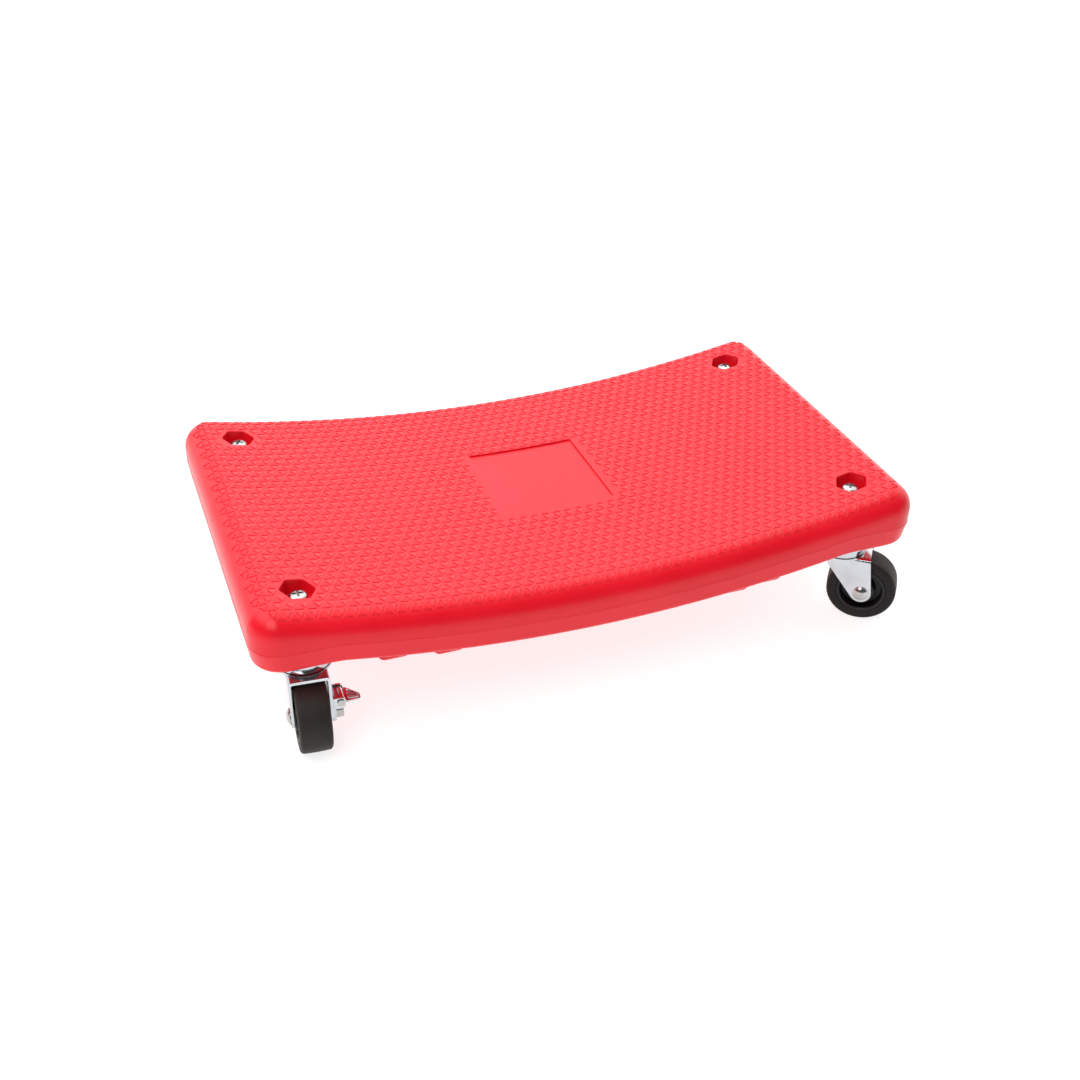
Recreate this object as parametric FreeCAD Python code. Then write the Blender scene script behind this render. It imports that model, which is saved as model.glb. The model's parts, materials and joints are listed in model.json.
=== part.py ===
import FreeCAD, Part
import math
import os

# Rolling mechanic's creeper: a blow-moulded saddle-shaped deck on four swivel casters.
# Millimetres, +Z up. The origin is on the floor under the middle of the deck, +X runs
# along the deck and the front side faces -Y.

V = FreeCAD.Vector
UP = V(0, 0, 1)

# ---- deck ----------------------------------------------------------------------------
deck_length = 465.0
deck_width = 265.0
plan_corner_radius = 20.0
rim_radius = 16.0
lower_edge_radius = 4.0
middle_thickness = 35.9
saddle_dip = 24.9
belly_drop = 16.2
pad_start = 179.4
pad_blend_radius = 60.0
deck_wall = 3.0
end_pad_height = 71.8

# Moulded label panel, a smooth shallow recess in the top
label_length = 79.5
label_width = 82.5
label_centre = (1.9, 5.5)
label_depth = 1.2

# Hexagonal screw pockets, posts and caster bosses
caster_pitch_x = 392.4
caster_pitch_y = 192.4
pocket_radius = 11.1
pocket_floor_height = 98.7
pocket_floor_thickness = 4.0
post_radius = 8.0
boss_radius = 21.0
boss_floor_thickness = 4.0

# Stiffening ribs across the underside
rib_centres = (-142.6, -106.4, 99.0, 124.0)
rib_width = 22.0
rib_depth = 9.0
rib_edge_radius = 5.0
rib_end_margin = 10.5

# ---- caster --------------------------------------------------------------------------
caster_height = 62.5
wheel_diameter = 50.0
wheel_width = 20.7
caster_trail = 20.3
sheet = 1.8

# Upper race cap, kingpin and ball ring
cap_radius = 18.3
cap_sheet = 1.5
cap_depth = 7.5
cap_edge_radius = 2.0
kingpin_radius = 5.5
kingpin_flange_radius = 8.5
kingpin_flange_thickness = 1.6
ball_radius = 2.0
ball_ring_radius = 11.0
ball_count = 12

# Fork
crown_radius = 18.5
crown_gap = 0.6
crown_front = 23.0
crown_front_drop = 1.8
crown_flat_end = 6.0
race_boss_radius = 15.2
leg_face_gap = 23.4
leg_end_radius = 7.5
leg_rear_reach = 6.8
leg_rear_height = 46.9
crown_bend_radius = 3.0

# Wheel
tyre_seat_radius = 17.4
tyre_edge_radius = 3.0
hub_rim_inner_radius = 15.2
hub_web_thickness = 7.0
hub_boss_radius = 9.5
hub_side_gap = 0.4
sleeve_radius = 4.0
axle_head_radius = 5.2
axle_head_height = 2.6

# Side brake
bracket_sheet = 1.4
bracket_half_width = 7.5
bracket_top = 39.5
ear_height = 8.5
ear_reach = 8.0
ear_corner_radius = 2.8
pivot_height = 36.0
pivot_offset = 4.8
pivot_radius = 1.5
pivot_head_radius = 2.4
pivot_head_height = 0.9
knuckle_radius = 2.9
wing_root_width = 14.5
wing_tip_width = 5.0
wing_tip_radius = 1.6
wing_reach = 14.2
wing_thickness = 1.5
wing_droop = 1.6
wing_rib_radius = 0.7
wing_rib_spread = 0.55
pad_width = 7.2
pad_height = 3.6
pad_drop = 3.0
pad_edge_radius = 0.8
pad_rest_gap = 0.9
window_margin = 0.4
window_rise = 2.3

# ---- fasteners -----------------------------------------------------------------------
bolt_radius = 3.0
bolt_length = 50.0
bolt_head_radius = 6.0
bolt_head_height = 4.4
bolt_head_crown = 1.6
cross_length = 6.4
cross_slot = 1.3
cross_depth = 2.2
nut_across_flats = 10.0
nut_height = 5.2
nut_bevel = 0.6

# ---- construction --------------------------------------------------------------------
overrun = 1.0
match = 0.01

# ---- clearances ----------------------------------------------------------------------
bolt_clearance = 0.25
thread_clearance = 0.05
seat_clearance = 0.02
running_clearance = 0.05
ball_clearance = 0.05
face_clearance = 0.08
knuckle_side_gap = 0.3

# Corner of the deck, direction the caster trails in (degrees from +X), and brake
CASTERS = (
    ("front_left", -1, -1, -94.4, True),
    ("front_right", 1, -1, -36.8, False),
    ("rear_left", -1, 1, 60.0, False),
    ("rear_right", 1, 1, 85.6, True),
)

# ---- heights and places that follow from the sizes above --------------------------------
middle_bottom_height = end_pad_height - belly_drop
middle_top_height = middle_bottom_height + middle_thickness
axle_height = wheel_diameter / 2
cap_rim_height = caster_height - cap_depth
crown_top_height = cap_rim_height - crown_gap
ball_centre_height = caster_height - cap_sheet - ball_clearance - ball_radius
race_top_height = ball_centre_height - ball_radius + sheet / 2
race_bottom_height = race_top_height - sheet
leg_outer = leg_face_gap / 2 + sheet
hub_face = leg_face_gap / 2 - hub_side_gap
kingpin_flange_top = race_bottom_height - face_clearance
kingpin_bottom = kingpin_flange_top - kingpin_flange_thickness
bracket_face = leg_outer + bracket_sheet
pivot_y = leg_outer + pivot_offset


def corner_box(x0, y0, z0, x1, y1, z1):
    """A box from its lowest to its highest corner."""
    return Part.makeBox(x1 - x0, y1 - y0, z1 - z0, V(x0, y0, z0))


def prism(points, direction):
    """A closed polygon pushed along a direction."""
    loop = Part.makePolygon([V(*p) for p in points] + [V(*points[0])])
    return Part.Face(loop).extrude(direction)


def hexagon_prism(radius, height, base, start_angle):
    """An upright six-sided prism, corner radius given, standing on a point."""
    points = []
    for k in range(6):
        a = math.radians(start_angle + 60 * k)
        points.append(V(radius * math.cos(a), radius * math.sin(a), 0))
    loop = Part.makePolygon(points + [points[0]])
    solid = Part.Face(loop).extrude(V(0, 0, height))
    solid.translate(base)
    return solid


def turned(points):
    """A closed (radius, height) outline spun about the Z axis."""
    loop = Part.makePolygon([V(r, 0, z) for r, z in points] + [V(points[0][0], 0, points[0][1])])
    return Part.Face(loop).revolve(V(0, 0, 0), UP, 360)


def edges_at(shape, test):
    """The edges whose middle point passes a test."""
    chosen = []
    for edge in shape.Edges:
        middle = edge.valueAt((edge.FirstParameter + edge.LastParameter) / 2)
        if test(middle):
            chosen.append(edge)
    return chosen


# ---- deck ----------------------------------------------------------------------------
def top_arc_height(x, drop=0.0):
    """Height of the saddle at a distance along the deck."""
    half = deck_length / 2
    radius = (half ** 2 + saddle_dip ** 2) / (2 * saddle_dip)
    return middle_top_height - drop + radius - math.sqrt(radius ** 2 - x ** 2)


def belly_radius():
    """Radius of the arc along the underside."""
    return (pad_start ** 2 + belly_drop ** 2) / (2 * belly_drop)


def belly_arcs(rise):
    """Tangent points of the underside: belly arc, blend arc and level end pad."""
    pad = end_pad_height + rise
    low = middle_bottom_height + rise
    centre = low + belly_radius()
    blend_centre_z = pad - pad_blend_radius
    reach = belly_radius() + pad_blend_radius
    blend_x = math.sqrt(reach ** 2 - (centre - blend_centre_z) ** 2)
    touch = belly_radius() / reach
    touch_x = blend_x * touch
    touch_z = centre + (blend_centre_z - centre) * touch
    half_turn = math.asin(blend_x / reach) / 2
    mid_x = blend_x - pad_blend_radius * math.sin(half_turn)
    mid_z = blend_centre_z + pad_blend_radius * math.cos(half_turn)
    return pad, low, (touch_x, touch_z), (mid_x, mid_z), blend_x


def side_outline(inset, drop, rise):
    """The deck seen from its front: saddle on top, belly below, in the XZ plane."""
    half = deck_length / 2 - inset
    pad, low, touch, mid, blend_x = belly_arcs(rise)
    top = top_arc_height(half, drop)
    crest = top_arc_height(0, drop)
    edges = [
        Part.LineSegment(V(half, 0, pad), V(half, 0, top)),
        Part.Arc(V(half, 0, top), V(0, 0, crest), V(-half, 0, top)),
        Part.LineSegment(V(-half, 0, top), V(-half, 0, pad)),
        Part.LineSegment(V(-half, 0, pad), V(-blend_x, 0, pad)),
        Part.Arc(V(-blend_x, 0, pad), V(-mid[0], 0, mid[1]), V(-touch[0], 0, touch[1])),
        Part.Arc(V(-touch[0], 0, touch[1]), V(0, 0, low), V(touch[0], 0, touch[1])),
        Part.Arc(V(touch[0], 0, touch[1]), V(mid[0], 0, mid[1]), V(blend_x, 0, pad)),
        Part.LineSegment(V(blend_x, 0, pad), V(half, 0, pad)),
    ]
    return Part.Wire([e.toShape() for e in edges])


def deck_block(inset, drop, rise):
    """The deck's outside, or its hollow when inset, dropped and raised by the wall."""
    half_width = deck_width / 2 - inset
    face = Part.Face(side_outline(inset, drop, rise))
    face.translate(V(0, -half_width, 0))
    block = face.extrude(V(0, 2 * half_width, 0))
    corner = plan_corner_radius - inset
    upright = edges_at(block, lambda p: abs(abs(p.x) - deck_length / 2 + inset) < match
                       and abs(abs(p.y) - half_width) < match)
    return block.makeFillet(corner, upright)


def is_top_edge(inset, drop):
    """A test for the edges round the top of a deck block."""
    def test(p):
        on_side = (abs(abs(p.y) - deck_width / 2 + inset) < deck_wall
                   or abs(abs(p.x) - deck_length / 2 + inset) < plan_corner_radius)
        return on_side and abs(p.z - top_arc_height(abs(p.x), drop)) < overrun
    return test


def is_bottom_edge(p):
    """A test for the edges round the underside of the deck."""
    inside = (abs(p.y) < deck_width / 2 - plan_corner_radius / 2
              and abs(p.x) < deck_length / 2 - plan_corner_radius / 2)
    return not inside and p.z < end_pad_height + match


def rib(centre, inset):
    """One stiffening rib, or its hollow when inset by the wall."""
    bottom = middle_bottom_height + centre ** 2 / (2 * belly_radius()) - rib_depth + inset
    half = rib_width / 2 - inset
    end = deck_width / 2 - rib_end_margin - inset
    body = corner_box(centre - half, -end, bottom, centre + half, end, end_pad_height + deck_wall + overrun)
    radius = rib_edge_radius - inset
    edges = edges_at(body, lambda p: p.z < end_pad_height)
    return body.makeFillet(radius, edges)


def caster_places():
    """The four swivel axes in plan, in the order of CASTERS."""
    return [(sx * caster_pitch_x / 2, sy * caster_pitch_y / 2) for _, sx, sy, _, _ in CASTERS]


def make_deck():
    """The hollow moulded deck with its pockets, posts, bosses, ribs and label panel."""
    outside = deck_block(0, 0, 0)
    outside = outside.makeFillet(rim_radius, edges_at(outside, is_top_edge(0, 0)))
    bottom_edges = edges_at(outside, is_bottom_edge)
    outside = outside.makeFillet(lower_edge_radius, bottom_edges)
    hollow = deck_block(deck_wall, deck_wall, deck_wall)
    hollow_top = edges_at(hollow, is_top_edge(deck_wall, deck_wall))
    hollow = hollow.makeFillet(rim_radius - deck_wall, hollow_top)

    top_limit = middle_top_height + saddle_dip
    for centre in rib_centres:
        outside = outside.fuse(rib(centre, 0))
        hollow = hollow.fuse(rib(centre, deck_wall))
    boss_height = end_pad_height - caster_height
    for x, y in caster_places():
        boss = Part.makeCylinder(boss_radius, boss_height + deck_wall, V(x, y, caster_height))
        outside = outside.fuse(boss)
        boss_room = boss_height + deck_wall + overrun - boss_floor_thickness
        room = Part.makeCylinder(boss_radius - deck_wall, boss_room,
                                 V(x, y, caster_height + boss_floor_thickness))
        hollow = hollow.fuse(room)
    for x, y in caster_places():
        floor = pocket_floor_height - pocket_floor_thickness
        pocket_wall = hexagon_prism(pocket_radius + deck_wall, top_limit - floor, V(x, y, floor), 0)
        post = Part.makeCylinder(post_radius, top_limit - caster_height, V(x, y, caster_height))
        hollow = hollow.cut(pocket_wall.fuse(post))
    deck = outside.cut(hollow)

    for x, y in caster_places():
        pocket = hexagon_prism(pocket_radius, top_limit - pocket_floor_height,
                               V(x, y, pocket_floor_height), 0)
        hole = Part.makeCylinder(bolt_radius + bolt_clearance, top_limit - caster_height + overrun,
                                 V(x, y, caster_height - overrun))
        deck = deck.cut(pocket.fuse(hole))
    panel_x, panel_y = label_centre
    panel = corner_box(panel_x - label_length / 2, panel_y - label_width / 2, middle_bottom_height,
                       panel_x + label_length / 2, panel_y + label_width / 2, top_limit)
    lowered = Part.Face(side_outline(0, label_depth, 0))
    lowered.translate(V(0, -deck_width / 2, 0))
    lowered = lowered.extrude(V(0, deck_width, 0))
    return deck.cut(panel.cut(lowered))


# ---- caster pieces, made about a swivel axis at the origin with the wheel trailing to +X ----
def make_race_cap():
    """Pressed cup that holds the balls down, bolted against the deck's boss."""
    cup = Part.makeCylinder(cap_radius, cap_depth, V(0, 0, cap_rim_height))
    cup = cup.makeFillet(cap_edge_radius, edges_at(cup, lambda p: p.z > caster_height - match))
    below = V(0, 0, cap_rim_height - overrun)
    inside = Part.makeCylinder(cap_radius - cap_sheet, cap_depth - cap_sheet + overrun, below)
    hole = Part.makeCylinder(kingpin_radius + seat_clearance, cap_depth + 2 * overrun, below)
    return cup.cut(inside).cut(hole)


def make_kingpin():
    """Hollow kingpin that the fork turns on, with a flange that carries the fork."""
    outline = [
        (bolt_radius + bolt_clearance, kingpin_bottom),
        (kingpin_flange_radius, kingpin_bottom),
        (kingpin_flange_radius, kingpin_flange_top),
        (kingpin_radius, kingpin_flange_top),
        (kingpin_radius, caster_height),
        (bolt_radius + bolt_clearance, caster_height),
    ]
    return turned(outline)


def make_ball_ring():
    """The ring of steel balls between the cap and the fork's crown."""
    balls = []
    for k in range(ball_count):
        a = 2 * math.pi * k / ball_count
        centre = V(ball_ring_radius * math.cos(a), ball_ring_radius * math.sin(a), ball_centre_height)
        balls.append(Part.makeSphere(ball_radius, centre))
    return Part.makeCompound(balls)


def crown_top(x):
    """Height of the crown's upper face, level under the cap and falling to the front."""
    if x <= crown_flat_end:
        return crown_top_height
    return crown_top_height - crown_front_drop * (x - crown_flat_end) / (crown_front - crown_flat_end)


def make_crown():
    """Crown of the fork: a pressed plate with a raised race for the balls."""
    front = crown_front
    rear = -crown_radius
    section = [
        (rear, 0, crown_top(rear)),
        (rear, 0, crown_top(rear) - sheet),
        (crown_flat_end, 0, crown_top_height - sheet),
        (front, 0, crown_top(front) - sheet),
        (front, 0, crown_top(front)),
        (crown_flat_end, 0, crown_top_height),
    ]
    slab = prism([(x, -crown_radius, z) for x, _, z in section], V(0, 2 * crown_radius, 0))
    disc = Part.makeCylinder(crown_radius, 4 * sheet, V(0, 0, crown_top_height - 2 * sheet))
    bridge = corner_box(0, -leg_outer, crown_top_height - 4 * sheet, front, leg_outer,
                        crown_top_height + sheet)
    plate = slab.common(disc.fuse(bridge))
    race = turned([
        (kingpin_radius + running_clearance, race_bottom_height),
        (race_boss_radius - sheet, race_bottom_height),
        (race_boss_radius - sheet / 2, crown_top_height - sheet),
        (race_boss_radius + sheet, crown_top_height - sheet),
        (race_boss_radius, race_top_height - sheet / 2),
        (race_boss_radius - sheet / 2, race_top_height),
        (kingpin_radius + running_clearance, race_top_height),
    ])
    opening = Part.makeCylinder(race_boss_radius - sheet / 2, 6 * sheet,
                                V(0, 0, crown_top_height - 3 * sheet))
    track = Part.makeTorus(ball_ring_radius, ball_radius + ball_clearance,
                           V(0, 0, ball_centre_height))
    return plate.cut(opening).fuse(race).cut(track)


def tangent_point(p, cx, cz, r, side):
    """Where a line from p touches the circle at (cx, cz) in the XZ plane."""
    dx, dz = p.x - cx, p.z - cz
    distance = math.hypot(dx, dz)
    base = math.atan2(dz, dx)
    swing = math.acos(r / distance)
    a = base + side * swing
    return V(cx + r * math.cos(a), 0, cz + r * math.sin(a))


def leg_outline():
    """Side view of one fork leg: wide at the crown, rounded round the axle."""
    cx, cz, r = caster_trail, axle_height, leg_end_radius
    rear = V(-leg_rear_reach, 0, leg_rear_height)
    front_top = V(crown_front, 0, crown_top(crown_front) - sheet / 2)
    rear_touch = tangent_point(rear, cx, cz, r, 1)
    front_touch = tangent_point(front_top, cx, cz, r, -1)
    bottom = V(cx, 0, cz - r)
    corner = V(-leg_rear_reach, 0, crown_top_height - sheet / 2)
    bend = V(crown_flat_end, 0, crown_top_height - sheet / 2)
    edges = [
        Part.LineSegment(rear, rear_touch),
        Part.Arc(rear_touch, bottom, front_touch),
        Part.LineSegment(front_touch, front_top),
        Part.LineSegment(front_top, bend),
        Part.LineSegment(bend, corner),
        Part.LineSegment(corner, rear),
    ]
    return Part.Wire([e.toShape() for e in edges])


def make_fork(braked):
    """The pressed fork: crown, two tapered legs and the axle holes."""
    fork = make_crown()
    for inner in (-leg_outer, leg_face_gap / 2):
        leg = Part.Face(leg_outline())
        leg.translate(V(0, inner, 0))
        fork = fork.fuse(leg.extrude(V(0, sheet, 0)))
    fork = fork.removeSplitter()
    axle_hole = Part.makeCylinder(bolt_radius + thread_clearance, 4 * leg_outer,
                                  V(caster_trail, -2 * leg_outer, axle_height), V(0, 1, 0))
    fork = fork.cut(axle_hole)
    if braked:
        fork = fork.cut(pad_window())
    return fork


def pad_window():
    """The opening in the leg and bracket that the brake pad works through."""
    half = pad_width / 2 + window_margin
    middle = pivot_height - pad_drop
    return corner_box(caster_trail - half, leg_face_gap / 2 - overrun,
                      middle - pad_height / 2 - window_margin,
                      caster_trail + half, bracket_face + overrun,
                      middle + pad_height / 2 + window_rise)


def make_tyre():
    """Soft tread ring with rounded shoulders."""
    ring = Part.makeCylinder(wheel_diameter / 2, wheel_width, V(0, 0, -wheel_width / 2))
    ring = ring.makeFillet(tyre_edge_radius, edges_at(ring, lambda p: abs(p.z) > wheel_width / 2 - match))
    seat = Part.makeCylinder(tyre_seat_radius + seat_clearance, wheel_width + 2 * overrun,
                             V(0, 0, -wheel_width / 2 - overrun))
    return place_on_axle(ring.cut(seat))


def make_hub():
    """Moulded hub: rim under the tyre, recessed web and a boss bored for the sleeve."""
    half = wheel_width / 2
    web = hub_web_thickness / 2
    rim = hub_rim_inner_radius
    boss = hub_boss_radius
    bore = sleeve_radius + running_clearance
    outline = [
        (bore, -hub_face), (boss, -hub_face), (boss, -web), (rim, -web), (rim, -half),
        (tyre_seat_radius, -half), (tyre_seat_radius, half), (rim, half), (rim, web),
        (boss, web), (boss, hub_face), (bore, hub_face),
    ]
    return place_on_axle(turned(outline))


def place_on_axle(shape, along=0.0):
    """Turn a shape made about Z so that it lies on the axle, a distance from the middle."""
    turn = FreeCAD.Rotation(UP, V(0, 1, 0))
    shape.Placement = FreeCAD.Placement(V(caster_trail, along, axle_height), turn)
    return shape


def make_axle_sleeve():
    """Steel sleeve clamped between the legs, which the hub turns on."""
    tube = turned([
        (bolt_radius + thread_clearance, -leg_face_gap / 2),
        (sleeve_radius, -leg_face_gap / 2),
        (sleeve_radius, leg_face_gap / 2),
        (bolt_radius + thread_clearance, leg_face_gap / 2),
    ])
    return place_on_axle(tube)


def nut_seat(braked):
    """Distance from the wheel's middle to the face that the axle nut bears on."""
    return bracket_face if braked else leg_outer


def make_axle_bolt(braked):
    """Axle bolt with a low domed head outside one leg."""
    end = nut_seat(braked) + nut_height
    shank = Part.makeCylinder(bolt_radius, leg_outer + end, V(0, 0, -leg_outer))
    cap_sphere = (axle_head_radius ** 2 + axle_head_height ** 2) / (2 * axle_head_height)
    ball = Part.makeSphere(cap_sphere, V(0, 0, -leg_outer - axle_head_height + cap_sphere))
    keep = Part.makeCylinder(axle_head_radius, axle_head_height, V(0, 0, -leg_outer - axle_head_height))
    return place_on_axle(shank.fuse(ball.common(keep)))


def make_nut(hole_radius):
    """Hexagon nut standing on z = 0, with bevelled corners."""
    corner = nut_across_flats / math.sqrt(3)
    body = hexagon_prism(corner, nut_height, V(0, 0, 0), 30)
    limit = turned([
        (0, 0), (corner - nut_bevel, 0), (corner + nut_bevel / 2, nut_bevel),
        (corner + nut_bevel / 2, nut_height - nut_bevel), (corner - nut_bevel, nut_height), (0, nut_height),
    ])
    return body.common(limit).cut(Part.makeCylinder(hole_radius, nut_height + 2 * overrun, V(0, 0, -overrun)))


def make_axle_nut(braked):
    """Nut on the threaded end of the axle bolt."""
    return place_on_axle(make_nut(bolt_radius + thread_clearance), nut_seat(braked))


def make_lock_nut():
    """Nut under the kingpin that holds the caster to the deck."""
    nut = make_nut(bolt_radius + thread_clearance)
    nut.translate(V(0, 0, kingpin_bottom - nut_height))
    return nut


def make_deck_bolt():
    """Pan-head bolt with a cross recess, from the pocket down through the caster."""
    seat = pocket_floor_height
    shank = Part.makeCylinder(bolt_radius, bolt_length, V(0, 0, seat - bolt_length))
    head = Part.makeCylinder(bolt_head_radius, bolt_head_height, V(0, 0, seat))
    top_edge = edges_at(head, lambda p: p.z > seat + bolt_head_height - match)
    head = head.makeFillet(bolt_head_height - bolt_head_crown, top_edge)
    bolt = shank.fuse(head)
    top = seat + bolt_head_height
    for length, width in ((cross_length, cross_slot), (cross_slot, cross_length)):
        slot = corner_box(-length / 2, -width / 2, top - cross_depth, length / 2, width / 2, top + overrun)
        bolt = bolt.cut(slot)
    return bolt


def make_brake_bracket():
    """Sheet bracket clamped by the axle nut, with two ears that hold the pivot."""
    x0 = caster_trail - bracket_half_width
    x1 = caster_trail + bracket_half_width
    round_end = Part.makeCylinder(bracket_half_width, bracket_sheet,
                                  V(caster_trail, leg_outer, axle_height), V(0, 1, 0))
    plate = corner_box(x0, leg_outer, axle_height, x1, bracket_face, bracket_top).fuse(round_end)
    ear_low = bracket_top - ear_height
    for x in (x0, x1 - bracket_sheet):
        ear = corner_box(x, leg_outer, ear_low, x + bracket_sheet, leg_outer + ear_reach, bracket_top)
        rounded = edges_at(ear, lambda p: p.y > leg_outer + ear_reach - match
                           and abs(p.x - x - bracket_sheet / 2) < match)
        plate = plate.fuse(ear.makeFillet(ear_corner_radius, rounded))
    plate = plate.removeSplitter()
    axle_hole = Part.makeCylinder(bolt_radius + thread_clearance, 3 * bracket_sheet,
                                  V(caster_trail, leg_outer - bracket_sheet, axle_height), V(0, 1, 0))
    pin_hole = Part.makeCylinder(pivot_radius + seat_clearance, 3 * bracket_half_width,
                                 V(x0 - overrun, pivot_y, pivot_height), V(1, 0, 0))
    return plate.cut(axle_hole).cut(pin_hole).cut(pad_window())


def make_brake_pivot():
    """Riveted pin through both ears."""
    x0 = caster_trail - bracket_half_width
    length = 2 * bracket_half_width
    pin = Part.makeCylinder(pivot_radius, length, V(x0, pivot_y, pivot_height), V(1, 0, 0))
    for x in (x0 - pivot_head_height, x0 + length):
        pin = pin.fuse(Part.makeCylinder(pivot_head_radius, pivot_head_height,
                                         V(x, pivot_y, pivot_height), V(1, 0, 0)))
    return pin


def make_brake_lever():
    """Ribbed foot wing and the knuckle that swings on the pivot pin."""
    inside = 2 * (bracket_half_width - bracket_sheet - knuckle_side_gap)
    knuckle = Part.makeCylinder(knuckle_radius, inside,
                                V(caster_trail - inside / 2, pivot_y, pivot_height), V(1, 0, 0))
    root_z = pivot_height + knuckle_radius - wing_thickness
    tip_y = pivot_y + wing_reach
    step_y = leg_outer + ear_reach + knuckle_side_gap
    neck_half = inside / 2
    root_half = wing_root_width / 2
    tip_half = wing_tip_width / 2
    cx = caster_trail
    plan = [
        (cx - neck_half, pivot_y, root_z), (cx - neck_half, step_y, root_z),
        (cx - root_half, step_y, root_z), (cx - tip_half, tip_y, root_z),
        (cx + tip_half, tip_y, root_z), (cx + root_half, step_y, root_z),
        (cx + neck_half, step_y, root_z), (cx + neck_half, pivot_y, root_z),
    ]
    wing = prism(plan, V(0, 0, wing_thickness))
    tips = edges_at(wing, lambda p: abs(p.z - root_z - wing_thickness / 2) < match
                    and p.y > tip_y - match)
    wing = wing.makeFillet(wing_tip_radius, tips)
    for share in (-wing_rib_spread, 0.0, wing_rib_spread):
        start = V(cx + share * root_half, step_y + wing_rib_radius, root_z + wing_thickness)
        end = V(cx + share * tip_half, tip_y - 2 * wing_rib_radius, root_z + wing_thickness)
        run = end - start
        ridge = Part.makeCylinder(wing_rib_radius, run.Length, start, run)
        wing = wing.fuse(ridge)
    droop = math.degrees(math.atan2(wing_droop, wing_reach))
    wing.rotate(V(cx, pivot_y, root_z), V(1, 0, 0), -droop)
    lever = knuckle.fuse(wing).removeSplitter()
    bore = Part.makeCylinder(pivot_radius + running_clearance, 3 * bracket_half_width,
                             V(cx - 1.5 * bracket_half_width, pivot_y, pivot_height), V(1, 0, 0))
    return lever.cut(bore)


def make_brake_pad():
    """Nylon pad carried under the knuckle, which presses on the face of the hub."""
    middle = pivot_height - pad_drop
    nose = hub_face + pad_rest_gap
    half = pad_width / 2
    block = corner_box(caster_trail - half, nose, middle - pad_height / 2,
                       caster_trail + half, pivot_y, middle + pad_height / 2)
    block = block.makeFillet(pad_edge_radius, edges_at(block, lambda p: p.y < nose + match))
    around = Part.makeCylinder(knuckle_radius + seat_clearance, 3 * bracket_half_width,
                               V(caster_trail - 1.5 * bracket_half_width, pivot_y, pivot_height),
                               V(1, 0, 0))
    return block.cut(around)


# ---- assembly ---------------------------------------------------------------------------
def placed(shape, place, heading):
    """A caster piece set at its corner and turned to its heading."""
    shape = shape.copy()
    shape.rotate(V(0, 0, 0), UP, heading)
    shape.translate(V(place[0], place[1], 0))
    return shape


def save(name, shape):
    """Write one node's STEP file."""
    if not shape.isValid():
        print("not valid:", name)
    shape.exportStep(os.path.join("parts", name + ".step"))


def main():
    os.makedirs("parts", exist_ok=True)
    save("deck", make_deck())
    for (corner, _, _, heading, braked), place in zip(CASTERS, caster_places()):
        pieces = {
            "deck_bolt": make_deck_bolt(),
            "lock_nut": make_lock_nut(),
            "race_cap": make_race_cap(),
            "kingpin": make_kingpin(),
            "ball_ring": make_ball_ring(),
            "fork": make_fork(braked),
            "tyre": make_tyre(),
            "wheel_hub": make_hub(),
            "axle_sleeve": make_axle_sleeve(),
            "axle_bolt": make_axle_bolt(braked),
            "axle_nut": make_axle_nut(braked),
        }
        if braked:
            pieces["brake_bracket"] = make_brake_bracket()
            pieces["brake_pivot"] = make_brake_pivot()
            pieces["brake_lever"] = make_brake_lever()
            pieces["brake_pad"] = make_brake_pad()
        for name, shape in pieces.items():
            save(name + "_" + corner, placed(shape, place, heading))


main()
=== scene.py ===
# %% [markdown]
# # A rolling mechanic's creeper
# The real object is one hollow red plastic deck on four small swivel casters. Its working
# shape is settled already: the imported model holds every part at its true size. This lesson
# dresses that model. The parts that show their shape, such as the deck, forks, wheels and
# bolts, are modelled again with finer edges. The parts deep inside keep their shape and
# get a finish of their own.

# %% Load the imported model
import json
import math
import bpy
import bmesh
from mathutils import Matrix, Vector


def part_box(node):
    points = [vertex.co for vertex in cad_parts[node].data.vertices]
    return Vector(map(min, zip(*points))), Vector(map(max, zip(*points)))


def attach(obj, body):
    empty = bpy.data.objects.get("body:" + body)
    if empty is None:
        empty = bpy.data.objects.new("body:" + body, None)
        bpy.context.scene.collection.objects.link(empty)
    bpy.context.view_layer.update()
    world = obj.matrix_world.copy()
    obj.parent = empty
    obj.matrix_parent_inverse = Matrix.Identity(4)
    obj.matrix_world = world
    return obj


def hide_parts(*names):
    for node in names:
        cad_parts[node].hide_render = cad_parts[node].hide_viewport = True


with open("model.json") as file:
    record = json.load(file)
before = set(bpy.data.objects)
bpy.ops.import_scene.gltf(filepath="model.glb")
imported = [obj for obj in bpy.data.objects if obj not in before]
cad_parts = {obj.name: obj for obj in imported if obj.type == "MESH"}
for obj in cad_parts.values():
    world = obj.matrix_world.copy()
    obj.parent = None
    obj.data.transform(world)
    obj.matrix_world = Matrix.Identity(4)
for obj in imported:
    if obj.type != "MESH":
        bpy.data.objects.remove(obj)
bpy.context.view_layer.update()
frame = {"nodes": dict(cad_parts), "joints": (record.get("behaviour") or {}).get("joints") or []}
mm = 0.001

# %% [markdown]
# ## The camera
# Every later choice is judged through the camera, so it comes first. It looks down on the
# front of the deck from the left, with a lens of about normal length, and it is tipped by
# two degrees. Two angles, a tilt, a distance and the point it aims at place it.

# %% Camera
view_azimuth = math.radians(-21.98)
view_elevation = math.radians(34.39)
view_tilt = math.radians(1.92)
view_distance = 970.1 * mm
view_target = Vector((-11.6, -32.6, 62.8)) * mm
lens_length = 45.71

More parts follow.
